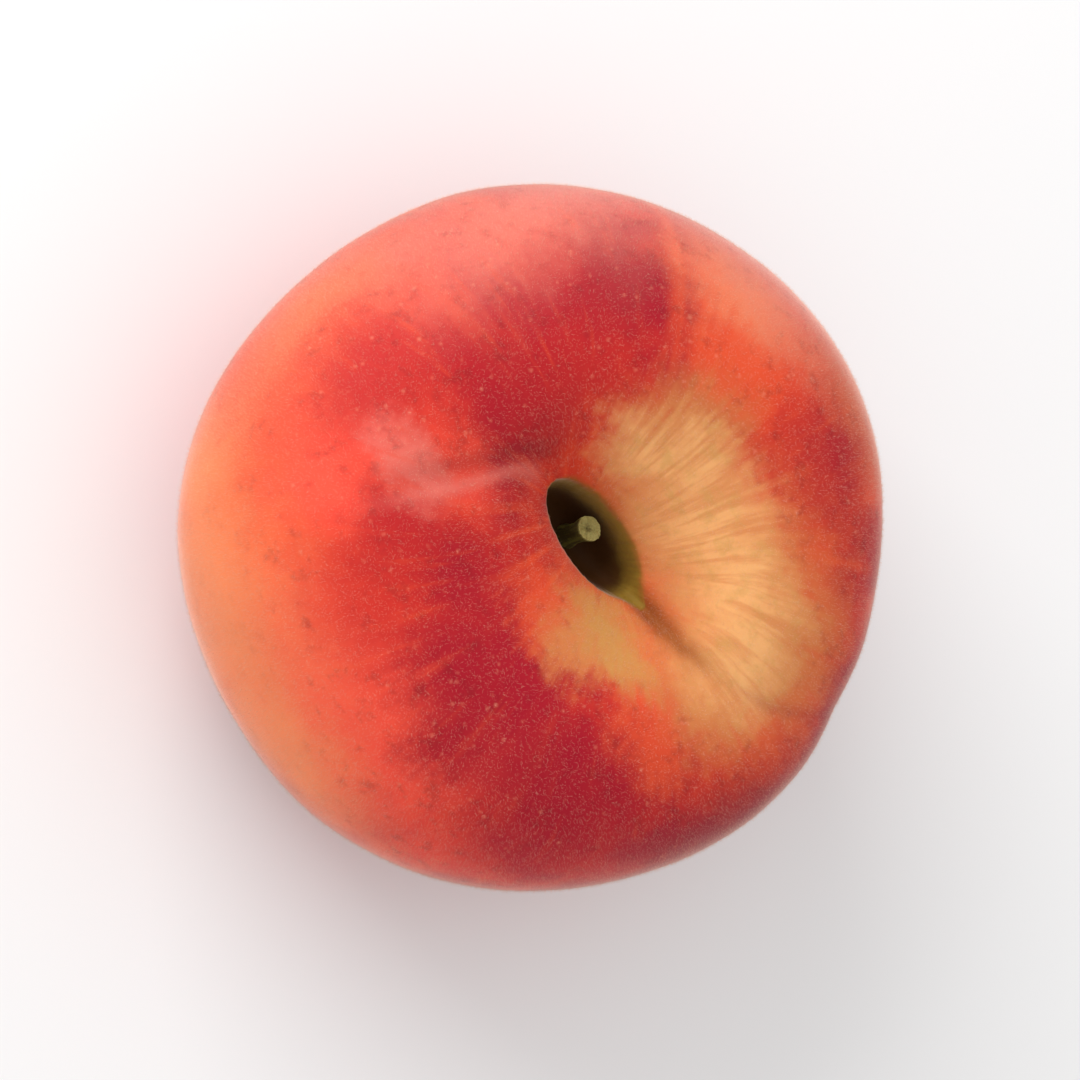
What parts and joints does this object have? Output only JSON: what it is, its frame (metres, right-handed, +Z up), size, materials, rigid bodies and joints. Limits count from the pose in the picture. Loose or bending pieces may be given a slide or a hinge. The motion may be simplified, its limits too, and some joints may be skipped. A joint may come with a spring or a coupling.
{
  "type": "flat peach",
  "caption": "Downy flat peach, round and squat like a ring doughnut, resting on its heel with the stem pit, suture and stalk stub on top.",
  "frame": {"origin": "under the middle of the fruit, on the surface that its heel rests on", "axes": "+Z up along the fruit's own axis, from the blossom end to the stem pit; +X the way the suture leaves the pit"},
  "size_m": [0.0696, 0.0704, 0.0418],
  "materials": {
    "peach_skin": "matte",
    "dry_stalk": "matte"
  },
  "bodies": {
    "root": {"fruit": "peach_skin", "stem_stub": "dry_stalk"}
  },
  "joints": []
}
